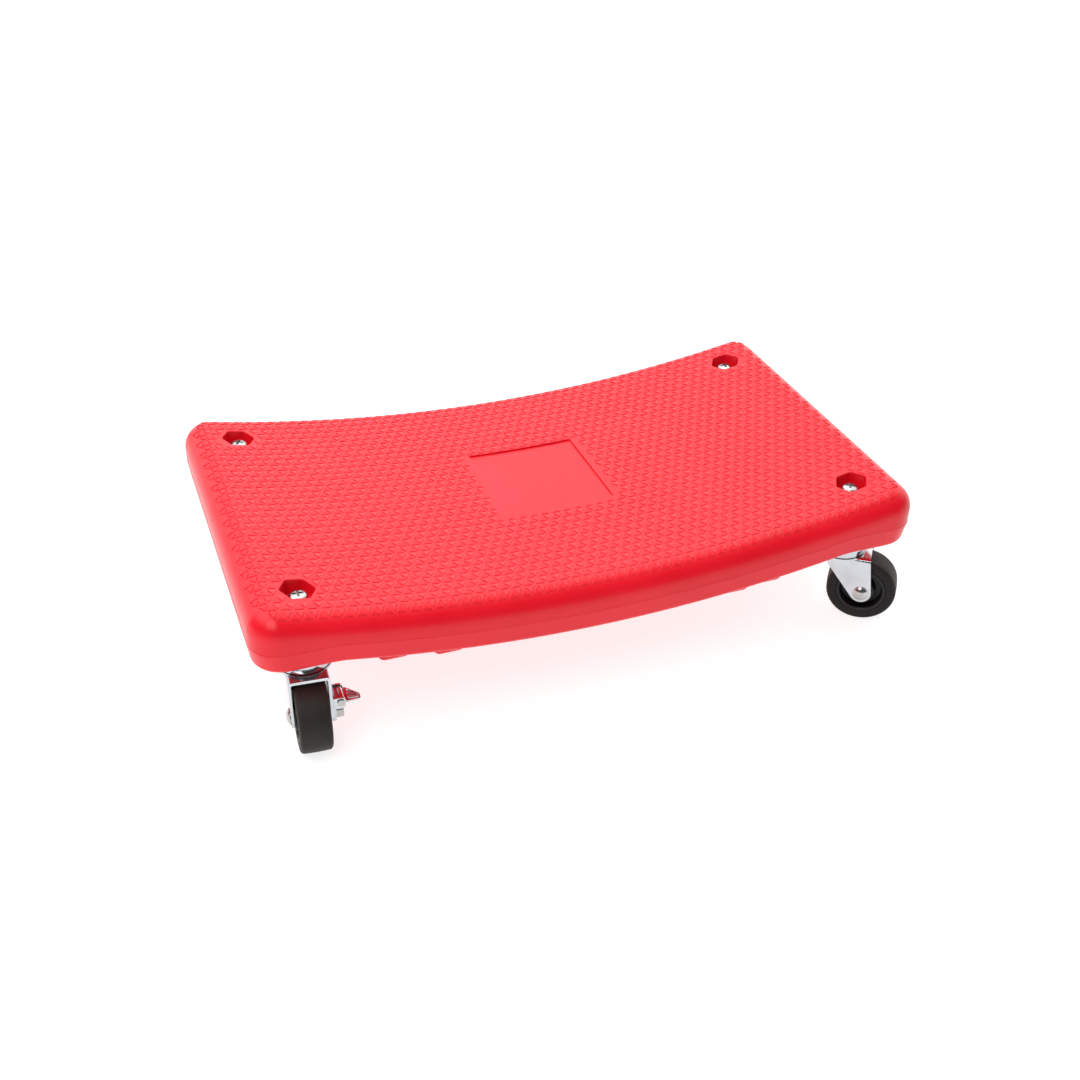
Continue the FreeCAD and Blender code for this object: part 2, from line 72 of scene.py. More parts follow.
away = Vector((math.sin(view_azimuth) * math.cos(view_elevation),
               -math.cos(view_azimuth) * math.cos(view_elevation),
               math.sin(view_elevation)))
camera = bpy.data.objects.new("camera", bpy.data.cameras.new("camera"))
bpy.context.scene.collection.objects.link(camera)
camera.data.lens = lens_length
camera.location = view_target + away * view_distance
level = away.to_track_quat("Z", "Y").to_matrix()
camera.rotation_euler = (level @ Matrix.Rotation(view_tilt, 3, "Z")).to_euler()
bpy.context.scene.camera = camera
print("camera at", [round(v, 4) for v in camera.location])

# %% [markdown]
# ## Working as by hand
# Most of Blender's modelling tools act on whatever is selected. Loading leaves every part
# selected, so each step starts by clearing the selection. In edit mode faces and edges are
# then picked in code, by where they are and which way they point.

# %% Selecting and editing
def clear_selection():
    """Leave edit mode and select nothing."""
    if bpy.context.object and bpy.context.object.mode != "OBJECT":
        bpy.ops.object.mode_set(mode="OBJECT")
    bpy.ops.object.select_all(action="DESELECT")


def make_active(piece):
    """Select one piece and nothing else."""
    clear_selection()
    piece.select_set(True)
    bpy.context.view_layer.objects.active = piece


def start_edit(piece):
    """Open a piece in edit mode."""
    make_active(piece)
    bpy.ops.object.mode_set(mode="EDIT")


def end_edit():
    """Go back to object mode."""
    bpy.ops.object.mode_set(mode="OBJECT")


def pick_faces(piece, test):
    """Select the faces whose centre and normal pass a test."""
    bpy.ops.mesh.select_mode(type="FACE")
    bpy.ops.mesh.select_all(action="DESELECT")
    mesh = bmesh.from_edit_mesh(piece.data)
    for face in mesh.faces:
        if test(face.calc_center_median(), face.normal):
            face.select_set(True)
    bmesh.update_edit_mesh(piece.data)


def pick_edges(piece, test):
    """Select the edges whose middle and direction pass a test."""
    bpy.ops.mesh.select_mode(type="EDGE")
    bpy.ops.mesh.select_all(action="DESELECT")
    mesh = bmesh.from_edit_mesh(piece.data)
    for edge in mesh.edges:
        a, b = edge.verts[0].co, edge.verts[1].co
        if test((a + b) / 2, (b - a).normalized()):
            edge.select_set(True)
    bmesh.update_edit_mesh(piece.data)


# %% [markdown]
# A few moves come back on every piece: a block or a rod of a given size, a bevel along some
# edges, a boolean cut with a helper shape, and the finish, which smooths the curved faces
# and leaves the sharp folds alone. They are written once here.

# %% Blocks, bevels and cuts
def add_block(name, low, high):
    """A block between two opposite corners."""
    clear_selection()
    low, high = Vector(low), Vector(high)
    bpy.ops.mesh.primitive_cube_add(size=1, location=(low + high) / 2, scale=high - low)
    bpy.ops.object.transform_apply()
    bpy.context.object.name = name
    return bpy.context.object


def add_rod(name, radius, low, high, sides, place=Vector(), turn=0):
    """An upright rod or prism between two heights, turned about its own axis."""
    clear_selection()
    bpy.ops.mesh.primitive_cylinder_add(vertices=sides, radius=radius, depth=high - low,
                                        location=(place.x, place.y, (low + high) / 2),
                                        rotation=(0, 0, turn))
    bpy.ops.object.transform_apply()
    bpy.context.object.name = name
    return bpy.context.object


def extrude_by(x, y, z):
    """Extrude the selected faces and move them."""
    bpy.ops.mesh.extrude_region_move(TRANSFORM_OT_translate={"value": (x, y, z)})


def bevel_edges(piece, test, width, segments):
    """Round the edges that pass a test."""
    start_edit(piece)
    pick_edges(piece, test)
    bpy.ops.mesh.bevel(offset=width, segments=segments, affect="EDGES")
    end_edit()


def apply_modifier(piece, kind, **settings):
    """Add a modifier with its settings and apply it at once."""
    modifier = piece.modifiers.new(kind.lower(), kind)
    for key, value in settings.items():
        setattr(modifier, key, value)
    make_active(piece)
    bpy.ops.object.modifier_apply(modifier=modifier.name)


def combine(piece, helper, how):
    """Join, cut or intersect a piece with a helper, and remove the helper."""
    apply_modifier(piece, "BOOLEAN", object=helper, operation=how, solver="EXACT")
    bpy.data.objects.remove(helper)


def smooth_piece(piece, angle=35):
    """Shade smooth, but keep folds sharper than the angle in degrees."""
    make_active(piece)
    bpy.ops.object.shade_smooth_by_angle(angle=math.radians(angle))


# %% [markdown]
# Round parts are turned from an outline, as on a lathe. The outline starts as one point,
# which is extruded from corner to corner, and the spin tool sweeps it about the axis.
# Spinning may leave the faces pointing inwards, so they are made consistent afterwards.
# Points closer than "near" count as one place, and "loose" is wide enough to pick edges by.

# %% Turning an outline
near = 0.01 * mm
loose = 0.1 * mm


def trace_outline(name, outline, across=0):
    """Draw an outline in the XZ plane from point to point, and stay in edit mode."""
    clear_selection()
    bpy.ops.mesh.primitive_plane_add(size=mm)
    piece = bpy.context.object
    piece.name = name
    bpy.ops.object.mode_set(mode="EDIT")
    bpy.ops.mesh.select_mode(type="VERT")
    bpy.ops.mesh.merge(type="CENTER")
    x, z = outline[0]
    bpy.ops.transform.translate(value=(x, across, z))
    for next_x, next_z in outline[1:]:
        step = (next_x - x, 0, next_z - z)
        bpy.ops.mesh.extrude_vertices_move(TRANSFORM_OT_translate={"value": step})
        x, z = next_x, next_z
    return piece


def turn_outline(name, outline, steps):
    """A round piece, swept about Z from a closed outline of radii and heights."""
    piece = trace_outline(name, outline + outline[:1])
    bpy.ops.mesh.select_all(action="SELECT")
    bpy.ops.mesh.spin(steps=steps, angle=2 * math.pi, center=(0, 0, 0), axis=(0, 0, 1))
    bpy.ops.mesh.select_all(action="SELECT")
    bpy.ops.mesh.remove_doubles(threshold=near)
    bpy.ops.mesh.normals_make_consistent(inside=False)
    end_edit()
    return piece


def round_corner(centre, radius, start, end, segments):
    """Points of an arc in an outline, from one angle to another in degrees."""
    points = []
    for k in range(segments + 1):
        a = math.radians(start + (end - start) * k / segments)
        points.append((centre[0] + radius * math.cos(a), centre[1] + radius * math.sin(a)))
    return points


# %% [markdown]
# ## The shape of the deck
# The deck is moulded as a shallow saddle. Its top follows one long arc from end to end, its
# underside follows another, and both ends have a level pad over the casters. A block can be
# shaped flat and then draped onto those two arcs, which is easier than modelling on a
# curve. So the arcs come first, as two functions of the place along the deck.

# %% Deck sizes
deck_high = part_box("deck")[1]
half_length = deck_high.x
half_width = deck_high.y
plan_corner = 20 * mm
rim_radius = 16 * mm
lower_edge = 4 * mm
middle_top = 91.5 * mm
middle_bottom = 55.6 * mm
saddle_dip = 24.9 * mm
pad_height = 71.8 * mm
belly_drop = pad_height - middle_bottom
belly_reach = 179.4 * mm
pad_blend = 60 * mm
mark_height = 0.5 * mm
parting_height = 15.4 * mm
side_draft = 1.7 * mm
parting_ridge = 0.2 * mm

dip_radius = (half_length ** 2 + saddle_dip ** 2) / (2 * saddle_dip) + rim_radius
belly_radius = (belly_reach ** 2 + belly_drop ** 2) / (2 * belly_drop)


def top_rise(x):
    """How far the top has risen at a place along the deck; the rim stays a true round."""
    reach = min(abs(x), half_length - rim_radius)
    return dip_radius - math.sqrt(dip_radius ** 2 - reach ** 2)


def belly_rise(x):
    """How far the underside has risen: an arc, a blend and the level pad."""
    reach = abs(x)
    span = belly_radius + pad_blend
    blend_end = math.sqrt(span ** 2 - (belly_radius - belly_drop + pad_blend) ** 2)
    if reach <= blend_end * belly_radius / span:
        return belly_radius - math.sqrt(belly_radius ** 2 - reach ** 2)
    if reach < blend_end:
        return belly_drop - pad_blend + math.sqrt(pad_blend ** 2 - (blend_end - reach) ** 2)
    return belly_drop


def edge_distance(x, y):
    """Distance in from the deck's rounded plan outline."""
    out_x = abs(x) - half_length + plan_corner
    out_y = abs(y) - half_width + plan_corner
    outside = math.hypot(max(out_x, 0), max(out_y, 0))
    return plan_corner - outside - min(max(out_x, out_y), 0)


def top_height(x, y):
    """Height of the smooth top, rim included, under the raised marks."""
    inner = rim_radius - min(max(edge_distance(x, y), 0), rim_radius)
    drop = rim_radius - math.sqrt(rim_radius ** 2 - inner ** 2)
    return middle_top - mark_height + top_rise(x) - drop


print("saddle radius", round(dip_radius, 3), "belly radius", round(belly_radius, 3))

# %% [markdown]
# ## The deck block
# The block is cut flat first: plan corners, a fine parting ridge round the sides where the
# two halves of the mould met, a wide round on the upper rim and a small one below. Bisect
# cuts then give it enough strips to bend. Two of the cuts each way fall on the edges of the
# smooth panel, so that its faces can be pushed down as one shallow recess.

# %% Flat deck block
flat_top = middle_top - mark_height - middle_bottom
deck = add_block("deck_shell", (-half_length + parting_ridge, -half_width + parting_ridge, 0),
                 (half_length - parting_ridge, half_width - parting_ridge, flat_top))
bevel_edges(deck, lambda at, along: abs(along.z) > 0.9, plan_corner, 10)


def bisect_piece(piece, place, normal):
    """Cut a piece with a plane and keep both sides."""
    start_edit(piece)
    bpy.ops.mesh.select_all(action="SELECT")
    bpy.ops.mesh.bisect(plane_co=place, plane_no=normal)
    end_edit()


ridge_half = 0.35 * mm
for height in (parting_height - ridge_half, parting_height, parting_height + ridge_half):
    bisect_piece(deck, (0, 0, height), (0, 0, 1))
bevel_edges(deck, lambda at, along: at.z > flat_top - near, rim_radius, 9)
bevel_edges(deck, lambda at, along: at.z < near, lower_edge, 4)
print("flat block faces", len(deck.data.polygons))

# %% [markdown]
# The real deck is moulded in its saddle shape. Here the bend comes later, so the flat block
# first gets enough faces to follow a curve: narrow strips along the length, where it bends,
# and only a few across. Subdividing everything evenly would cost far more faces.

# %% Strips for the bend
panel_centre = (1.9 * mm, 5.5 * mm)
panel_half = (39.75 * mm, 41.25 * mm)
panel_x = (panel_centre[0] - panel_half[0], panel_centre[0] + panel_half[0])
panel_y = (panel_centre[1] - panel_half[1], panel_centre[1] + panel_half[1])
strip_along = 8 * mm
strip_across = 20 * mm
panel_depth = 1.2 * mm
panel_lip = 0.4 * mm
support = 1 * mm


def evenly(start, end, largest):
    """Places from start to end, spaced evenly and no more than a given step apart."""
    count = math.ceil((end - start) / largest)
    return [start + (end - start) * k / count for k in range(count + 1)]


def strip_places(half, panel, largest):
    """Places of the cuts one way, with two of them on the panel's edges."""
    limit = half - rim_radius - support
    places = evenly(-limit, panel[0], largest) + evenly(panel[0], panel[1], largest)[1:]
    return places + evenly(panel[1], limit, largest)[1:]


for x in strip_places(half_length, panel_x, strip_along):
    bisect_piece(deck, (x, 0, 0), (1, 0, 0))
for y in strip_places(half_width, panel_y, strip_across):
    bisect_piece(deck, (0, y, 0), (0, 1, 0))
print("faces after the cuts", len(deck.data.polygons))

# %% [markdown]
# The panel's faces are extruded straight down, and the sharp lip that this leaves is
# bevelled, because a moulded lip always has a small round that catches the light.

# %% Smooth panel
def in_panel(at):
    """True inside the smooth panel, seen from above."""
    return panel_x[0] < at.x < panel_x[1] and panel_y[0] < at.y < panel_y[1]


def on_panel_edge(at, along):
    """True on the lip round the panel."""
    level = at.z > flat_top - near
    on_x = min(abs(at.x - panel_x[0]), abs(at.x - panel_x[1])) < near
    on_y = min(abs(at.y - panel_y[0]), abs(at.y - panel_y[1])) < near
    in_x = panel_x[0] - loose < at.x < panel_x[1] + loose
    in_y = panel_y[0] - loose < at.y < panel_y[1] + loose
    return level and in_x and in_y and (on_x or on_y) and (abs(along.x) > 0.9) == on_y


start_edit(deck)
pick_faces(deck, lambda at, normal: at.z > flat_top - near and normal.z > 0.9 and in_panel(at))
extrude_by(0, 0, -panel_depth)
end_edit()
bevel_edges(deck, on_panel_edge, panel_lip, 3)
print("faces with the panel", len(deck.data.polygons))

# %% [markdown]
# Now the flat block is draped. Points near the top follow the upper arc, points near the
# bottom follow the lower one, and the plain wall between them stretches. The parting ridge
# is pushed out to full size and the wall below it leans in, as a mould needs.

# %% Drape the deck
def drape(at):
    """Where a point of the flat block lies on the finished deck."""
    wall_start = parting_height + 1 * mm
    wall_end = flat_top - rim_radius
    share = min(max((at.z - wall_start) / (wall_end - wall_start), 0), 1)
    lean = side_draft * max(parting_height - at.z, 0) / parting_height
    on_wall = edge_distance(at.x, at.y) < 2 * parting_ridge
    if on_wall and abs(at.z - parting_height) < near:
        lean = -parting_ridge
    rise = belly_rise(at.x) * (1 - share) + top_rise(at.x) * share
    return Vector((at.x * (1 - lean / half_length), at.y * (1 - lean / half_width),
                   middle_bottom + at.z + rise))


for vertex in deck.data.vertices:
    vertex.co = drape(vertex.co)
print("deck height", round(max(v.co.z for v in deck.data.vertices), 5))

# %% [markdown]
# ## Screw pockets
# Each corner has a hexagonal pocket that lets the bolt head sit below the surface. The
# helper shape for the cut is a six-sided block with rounded corners whose top flares out,
# so the cut leaves a rounded lip. Its upper rings follow the draped top, because the top
# slopes there and the lip should be equally round all the way along.

# %% Places of the casters
corners = [joint["name"].removeprefix("swivel_") for joint in frame["joints"]
           if joint["name"].startswith("swivel_")]
joint_place = {joint["name"]: Vector(joint["pos_m"]) for joint in frame["joints"]}
swivel = {corner: joint_place["swivel_" + corner] for corner in corners}
axle = {corner: joint_place["roll_" + corner] for corner in corners}
braked = [corner for corner in corners if "brake_" + corner in joint_place]
print("casters", corners, "with a brake", braked)

# %% [markdown]
# The pocket shape is made for one corner at a time, because the top under it slopes
# differently at the left and right. A boolean difference then sinks it into the deck.

# %% Cut the pockets
pocket_radius = 11.5 * mm
pocket_floor = 98.7 * mm
pocket_corner = 1.6 * mm
lip_radius = 0.9 * mm
bolt_hole = 3.25 * mm
pocket_clear = 4 * mm


def add_pocket_shape(x, y):
    """The shape cut out of the deck for one pocket, with a rounded lip."""
    lip_start = top_height(x, y) - lip_radius
    shape = add_rod("pocket", pocket_radius, pocket_floor, lip_start, 6,
                    Vector((x, y, 0)), math.radians(30))
    bevel_edges(shape, lambda at, along: abs(along.z) > 0.9, pocket_corner, 4)
    start_edit(shape)
    pick_faces(shape, lambda at, normal: normal.z > 0.9)
    before = (0, 0)
    for turn in (22.5, 45, 67.5, 90):
        out = lip_radius * (1 - math.cos(math.radians(turn)))
        up = lip_radius * math.sin(math.radians(turn))
        grow = (pocket_radius + out) / (pocket_radius + before[0])
        extrude_by(0, 0, up - before[1])
        bpy.ops.transform.resize(value=(grow, grow, 1), center_override=(x, y, 0))
        before = (out, up)
    extrude_by(0, 0, pocket_clear)
    end_edit()
    for vertex in shape.data.vertices:
        if vertex.co.z > pocket_floor + lip_radius:
            vertex.co.z += top_height(vertex.co.x, vertex.co.y) - top_height(x, y)
    return shape


for corner in corners:
    combine(deck, add_pocket_shape(swivel[corner].x, swivel[corner].y), "DIFFERENCE")
print("faces with pockets", len(deck.data.polygons))

# %% [markdown]
# ## Ribs and bosses
# The underside carries four cross ribs that stiffen the saddle, and a round boss over each
# caster. Each is its own small block or rod, rounded before it is joined to the deck, so
# that only the outer edges are rounded.

# %% Join the ribs and bosses
rib_centres = [x * mm for x in (-142.6, -106.4, 99.0, 124.0)]
rib_half = 11 * mm
rib_depth = 9 * mm
rib_end = 122 * mm
rib_edge = 4.8 * mm
rib_height = 20 * mm
rib_outside = 15 * mm
boss_radius = 21 * mm
boss_edge = 1.2 * mm
boss_overlap = 6 * mm
boss_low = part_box("race_cap_" + corners[0])[1].z

for centre in rib_centres:
    low = middle_bottom + belly_rise(centre) - rib_depth
    rib = add_block("rib", (centre - rib_half, -rib_end, low),
                    (centre + rib_half, rib_end, low + rib_height))
    bevel_edges(rib, lambda at, along: at.z < low + rib_outside and
                (abs(along.z) > 0.9 or at.z < low + loose), rib_edge, 4)
    combine(deck, rib, "UNION")
for corner in corners:
    boss = add_rod("boss", boss_radius, boss_low, pad_height + boss_overlap, 64, swivel[corner])
    bevel_edges(boss, lambda at, along: at.z < boss_low + near, boss_edge, 3)
    combine(deck, boss, "UNION")
    hole = add_rod("hole", bolt_hole, boss_low - mm, pocket_floor + mm, 24, swivel[corner])
    combine(deck, hole, "DIFFERENCE")
print("faces with ribs and bosses", len(deck.data.polygons))

# %% [markdown]
# Boolean cuts leave a few points on top of each other, so these are merged. Faces are then
# smoothed except at sharp edges, and weighted normals keep the big flat faces flat beside
# their rounds.

# %% Finish the deck
start_edit(deck)
bpy.ops.mesh.select_all(action="SELECT")
bpy.ops.mesh.remove_doubles(threshold=0.005 * mm)
end_edit()
smooth_piece(deck)
apply_modifier(deck, "WEIGHTED_NORMAL", keep_sharp=True)
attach(deck, "deck")
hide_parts("deck")
print("deck triangles", sum(len(face.vertices) - 2 for face in deck.data.polygons))

# %% [markdown]
# ## Grip marks
# The top is covered in small raised triangles, point up and point down in turn, so that the
# gaps between them form a net of three families of lines. Each mark is a real bump half a
# millimetre high with steep walls and a slanted upper edge, because its sides catch the
# light from different directions. A picture of a pattern couldn't do that. A pair of marks
# in each of two rows is modelled, and this group of four is what repeats.

# %% One raised triangle
mark_pitch = 8.15 * mm
mark_row = 7.54 * mm
mark_gap = 0.85 * mm
mark_edge = 0.22 * mm
mark_draw = 0.42 * mm
mark_corner = 0.4 * mm
mark_sink = 0.25 * mm


def add_mark(up):
    """A low triangular bump, point up or down, that fills one cell of the net."""
    radius = mark_row * 2 / 3 - 2 * mark_gap
    turn = 0 if up else math.pi
    middle = mark_row / 3 if up else mark_row * 2 / 3
    wall = mark_height - mark_edge
    mark = add_rod("mark", radius, -mark_sink, wall, 3, Vector((0, middle, 0)), turn)
    bevel_edges(mark, lambda at, along: abs(along.z) > 0.9, mark_corner, 1)
    start_edit(mark)
    pick_faces(mark, lambda at, normal: normal.z > 0.9)
    extrude_by(0, 0, mark_edge)
    share = 1 - mark_draw / (radius / 2)
    bpy.ops.transform.resize(value=(share, share, 1))
    end_edit()
    return mark


def join_pieces(pieces):
    """Join pieces into the first one."""
    make_active(pieces[0])
    for piece in pieces:
        piece.select_set(True)
    bpy.ops.object.join()
    return pieces[0]


def move_in_mesh(piece, offset):
    """Move a piece's points and leave its origin where it is."""
    piece.data.transform(Matrix.Translation(Vector(offset)))


first_row = [add_mark(True), add_mark(False)]
move_in_mesh(first_row[1], (mark_pitch / 2, 0, 0))
second_row = [add_mark(True), add_mark(False)]
move_in_mesh(second_row[0], (mark_pitch / 2, mark_row, 0))
move_in_mesh(second_row[1], (mark_pitch, mark_row, 0))
points_per_mark = len(first_row[0].data.vertices)
marks = join_pieces(first_row + second_row)
marks.name = "deck_grip_marks"
print("one mark has", points_per_mark, "points")

# %% [markdown]
# Thousands of marks placed one by one would be slow, so two array modifiers lay out the
# whole sheet at once. Marks in the wrong place are then selected block by block, since each
# copy has the same number of points, and deleted.

# %% Repeat, thin out and drape the marks
first_mark_y = -126.1 * mm
first_mark_x = -228 * mm
field_edge = 5.6 * mm
panel_margin = 0.8 * mm
pocket_margin = 0.2 * mm
for reach, step in ((2 * half_length, (mark_pitch, 0, 0)), (2 * half_width, (0, 2 * mark_row, 0))):
    apply_modifier(marks, "ARRAY", count=math.ceil(reach / max(step)), use_relative_offset=False,
                   use_constant_offset=True, constant_offset_displace=step)
move_in_mesh(marks, (first_mark_x, first_mark_y, 0))


def hexagon_reach(x, y):
    """Half the width across corners of the smallest pocket-shaped hexagon that holds a point."""
    return max(abs(y) * 2 / math.sqrt(3), abs(x) + abs(y) / math.sqrt(3))


def keeps_mark(points):
    """True where a mark clears the rim, the panel and the pockets."""
    for at in points:
        if edge_distance(at.x, at.y) < field_edge:
            return False
        if (panel_x[0] - panel_margin < at.x < panel_x[1] + panel_margin
                and panel_y[0] - panel_margin < at.y < panel_y[1] + panel_margin):
            return False
        for place in swivel.values():
            reach = hexagon_reach(at.x - place.x, at.y - place.y)
            if reach < pocket_radius + lip_radius + pocket_margin:
                return False
    return True


start_edit(marks)
bpy.ops.mesh.select_mode(type="VERT")
bpy.ops.mesh.select_all(action="DESELECT")
mesh = bmesh.from_edit_mesh(marks.data)
mesh.verts.ensure_lookup_table()
for first in range(0, len(mesh.verts), points_per_mark):
    block = mesh.verts[first:first + points_per_mark]
    if not keeps_mark([vertex.co for vertex in block]):
        for vertex in block:
            vertex.select_set(True)
mesh.select_flush(True)
bmesh.update_edit_mesh(marks.data)
bpy.ops.mesh.delete(type="VERT")
end_edit()
for vertex in marks.data.vertices:
    vertex.co.z += top_height(vertex.co.x, vertex.co.y)
smooth_piece(marks, 20)
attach(marks, "deck")
print("marks", len(marks.data.vertices) // points_per_mark,
      "triangles", sum(len(face.vertices) - 2 for face in marks.data.polygons))

# %% [markdown]
# ## One caster, made once
# All four casters are alike, and two also carry a brake. Each piece is made once with the
# swivel axis upright at the origin and the wheel trailing along +X. A copy with its own
# mesh is then turned to each caster's heading and moved to its corner. Sizes are measured
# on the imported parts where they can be, and named here where they can't.

# %% Caster sizes and copying
trail = (axle[corners[0]] - swivel[corners[0]]).xy.length
axle_height = axle[corners[0]].z
sheet = 1.8 * mm
leg_inner = 11.7 * mm
leg_outer = leg_inner + sheet
crown_top = boss_low - 8.1 * mm
crown_front = 23 * mm
heading = {}
for corner in corners:
    toward = axle[corner] - swivel[corner]
    heading[corner] = math.atan2(toward.y, toward.x)


def share_out(master, node, where, body, finish):
    """Copies of a caster piece, each turned and moved to its corner in its mesh."""
    for corner in where:
        make_active(master)
        bpy.ops.object.duplicate(linked=False)
        piece = bpy.context.object
        piece.name = node + "_" + corner + "_shown"
        place = Matrix.Translation((swivel[corner].x, swivel[corner].y, 0))
        piece.data.transform(place @ Matrix.Rotation(heading[corner], 4, "Z"))
        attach(piece, body + "_" + corner if body != "deck" else body)
        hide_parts(node + "_" + corner)
        use_finish(piece, finish)
    print(node, "copies", len(where), "faces each", len(master.data.polygons))
    bpy.data.objects.remove(master)


def lay_on_axle(piece):
    """Turn a piece made about Z so that it lies on the axle, its top towards +Y."""
    turn = Matrix.Rotation(-math.pi / 2, 4, "X")
    piece.data.transform(Matrix.Translation((trail, 0, axle_height)) @ turn)


print("trail", round(trail, 4), "axle height", axle_height)

# %% [markdown]
# ## Tyre and hub
# The tyre is a soft ring with rounded shoulders, moulded round a hard hub. Both are turned.
# The tread is very slightly crowned, and the side wall has a small chamfer where it meets
# the hub. The hub is deep between its rim and its bearing boss.

# %% Turn the tyre
tyre_radius = axle_height - 0.03 * mm
tyre_half = 10.35 * mm
tyre_seat = 17.4 * mm
shoulder = 2.4 * mm
tread_crown = 0.25 * mm
tread_dip = 0.08 * mm
chamfer_wide = 0.6 * mm
chamfer_deep = 0.5 * mm
edge_radius = tyre_radius - tread_crown - shoulder

tyre_outline = [(tyre_seat, -tyre_half + chamfer_deep), (tyre_seat + chamfer_wide, -tyre_half)]
tyre_outline += round_corner((edge_radius, -tyre_half + shoulder), shoulder, -90, 0, 6)
tyre_outline += [(tyre_radius - tread_dip, -tyre_half / 3), (tyre_radius, 0)]
tyre_outline += [(tyre_radius - tread_dip, tyre_half / 3)]
tyre_outline += round_corner((edge_radius, tyre_half - shoulder), shoulder, 0, 90, 6)
tyre_outline += [(tyre_seat + chamfer_wide, tyre_half), (tyre_seat, tyre_half - chamfer_deep)]
tyre = turn_outline("tyre", tyre_outline, 96)
# Mark the tread points, where the rubber finish paints a paler shade: partly dust, partly a painted
# sheen.
rolled = tyre.data.attributes.new("tread", "FLOAT", "POINT")
for vertex in tyre.data.vertices:
    rolled.data[vertex.index].value = float(vertex.co.xy.length > edge_radius + shoulder / 2)
lay_on_axle(tyre)
smooth_piece(tyre)

# %% [markdown]
# The hub is one turned piece with the same outline on both sides, so only half of it is
# listed and the other half is its mirror.

# %% Turn the hub
hub_rim = 15.2 * mm
hub_web = 3.5 * mm
hub_boss = 9.5 * mm
hub_bore = 4.05 * mm
hub_face = 11.3 * mm
hub_round = 0.8 * mm
hub_chamfer = 0.5 * mm

hub_side = [(hub_bore, hub_face), (hub_boss - hub_chamfer, hub_face)]
hub_side += [(hub_boss, hub_face - hub_chamfer)]
hub_side += round_corner((hub_boss + hub_round + 0.4 * mm, hub_web + hub_round),
                         hub_round, 180, 270, 3)
hub_side += round_corner((hub_rim - hub_round - 0.6 * mm, hub_web + hub_round),
                         hub_round, 270, 360, 3)
hub_side += [(hub_rim, tyre_half - 0.4 * mm), (hub_rim + 0.4 * mm, tyre_half)]
hub_side += [(tyre_seat - 0.02 * mm, tyre_half)]
hub_outline = [(r, -z) for r, z in hub_side] + hub_side[::-1]
hub = turn_outline("hub", hub_outline, 64)
lay_on_axle(hub)
smooth_piece(hub)
print("tyre faces", len(tyre.data.polygons), "hub faces", len(hub.data.polygons))

# %% [markdown]
# ## Race cap, axle bolt and deck bolt
# The cap is a pressed cup, and the axle bolt has a low domed head. They are turned as well,
# with every edge rounded a little, because plated steel shows its edges as bright lines.

# %% Turn the cap and the axle bolts
cap_radius = 18.3 * mm
cap_low = 55 * mm
cap_wall = 1.5 * mm
cap_round = 2 * mm
kingpin_seat = 5.52 * mm

cap_outline = [(kingpin_seat, boss_low), (kingpin_seat, boss_low - cap_wall)]
cap_outline += round_corner((cap_radius - cap_round, boss_low - cap_round),
                            cap_round - cap_wall, 90, 0, 3)
cap_outline += [(cap_radius - cap_wall, cap_low + 0.3 * mm)]
cap_outline += [(cap_radius - cap_wall + 0.3 * mm, cap_low)]
cap_outline += round_corner((cap_radius - 0.4 * mm, cap_low + 0.4 * mm), 0.4 * mm, -90, 0, 3)
cap_outline += round_corner((cap_radius - cap_round, boss_low - cap_round), cap_round, 0, 90, 5)
cap = turn_outline("cap", cap_outline, 64)
smooth_piece(cap)

bolt_radius = 3 * mm
axle_head = 5.6 * mm
axle_head_height = 2.6 * mm
bracket_sheet = 1.4 * mm
nut_height = 5.2 * mm
thread_chamfer = 0.5 * mm


def turn_axle_bolt(end):
    """The axle bolt, with its domed head outside one leg and its end beyond the nut."""
    dome = (axle_head ** 2 + axle_head_height ** 2) / (2 * axle_head_height)
    half_angle = math.degrees(math.asin((axle_head - 0.35 * mm) / dome))
    outline = round_corner((0, dome - leg_outer - axle_head_height), dome, -90, half_angle - 90, 7)
    outline += [(axle_head, -leg_outer - 0.45 * mm), (axle_head, -leg_outer - 0.1 * mm)]
    outline += [(axle_head - 0.2 * mm, -leg_outer), (bolt_radius, -leg_outer)]
    outline += [(bolt_radius, end - thread_chamfer), (bolt_radius - thread_chamfer, end), (0, end)]
    bolt = turn_outline("axle_bolt", outline, 48)
    lay_on_axle(bolt)
    smooth_piece(bolt)
    return bolt


print("cap faces", len(cap.data.polygons))

# %% [markdown]
# The deck bolt has a pan head with a cross recess. The head is turned, and the cross is cut
# by two crossed bars whose lower edges are narrowed, so the recess tapers as a driver does.

# %% Turn the deck bolt and cut its cross
head_radius = 6.2 * mm
head_height = 6.6 * mm
bolt_length = 50 * mm
head_round = 2.6 * mm
cross_long = 3.9 * mm
cross_half = 1.05 * mm
cross_depth = 2.8 * mm
cross_taper = 0.55

head_top = pocket_floor + head_height
bolt_outline = [(0, head_top), (head_radius / 2, head_top - 0.25 * mm)]
bolt_outline += round_corner((head_radius - head_round, head_top - 0.7 * mm - head_round),
                             head_round, 75, 0, 6)
bolt_outline += [(head_radius, pocket_floor + 0.3 * mm), (head_radius - 0.3 * mm, pocket_floor)]
bolt_outline += [(bolt_radius, pocket_floor), (bolt_radius, pocket_floor - bolt_length)]
bolt_outline += [(0, pocket_floor - bolt_length)]
deck_bolt = turn_outline("deck_bolt", bolt_outline, 48)
for long_x, long_y in ((cross_long, cross_half), (cross_half, cross_long)):
    bar = add_block("bar", (-long_x, -long_y, head_top - cross_depth),
                    (long_x, long_y, head_top + mm))
    start_edit(bar)
    pick_faces(bar, lambda at, normal: normal.z < -0.9)
    bpy.ops.transform.resize(value=(cross_taper, cross_taper, 1))
    end_edit()
    combine(deck_bolt, bar, "DIFFERENCE")
smooth_piece(deck_bolt, 30)
print("bolt faces", len(deck_bolt.data.polygons))

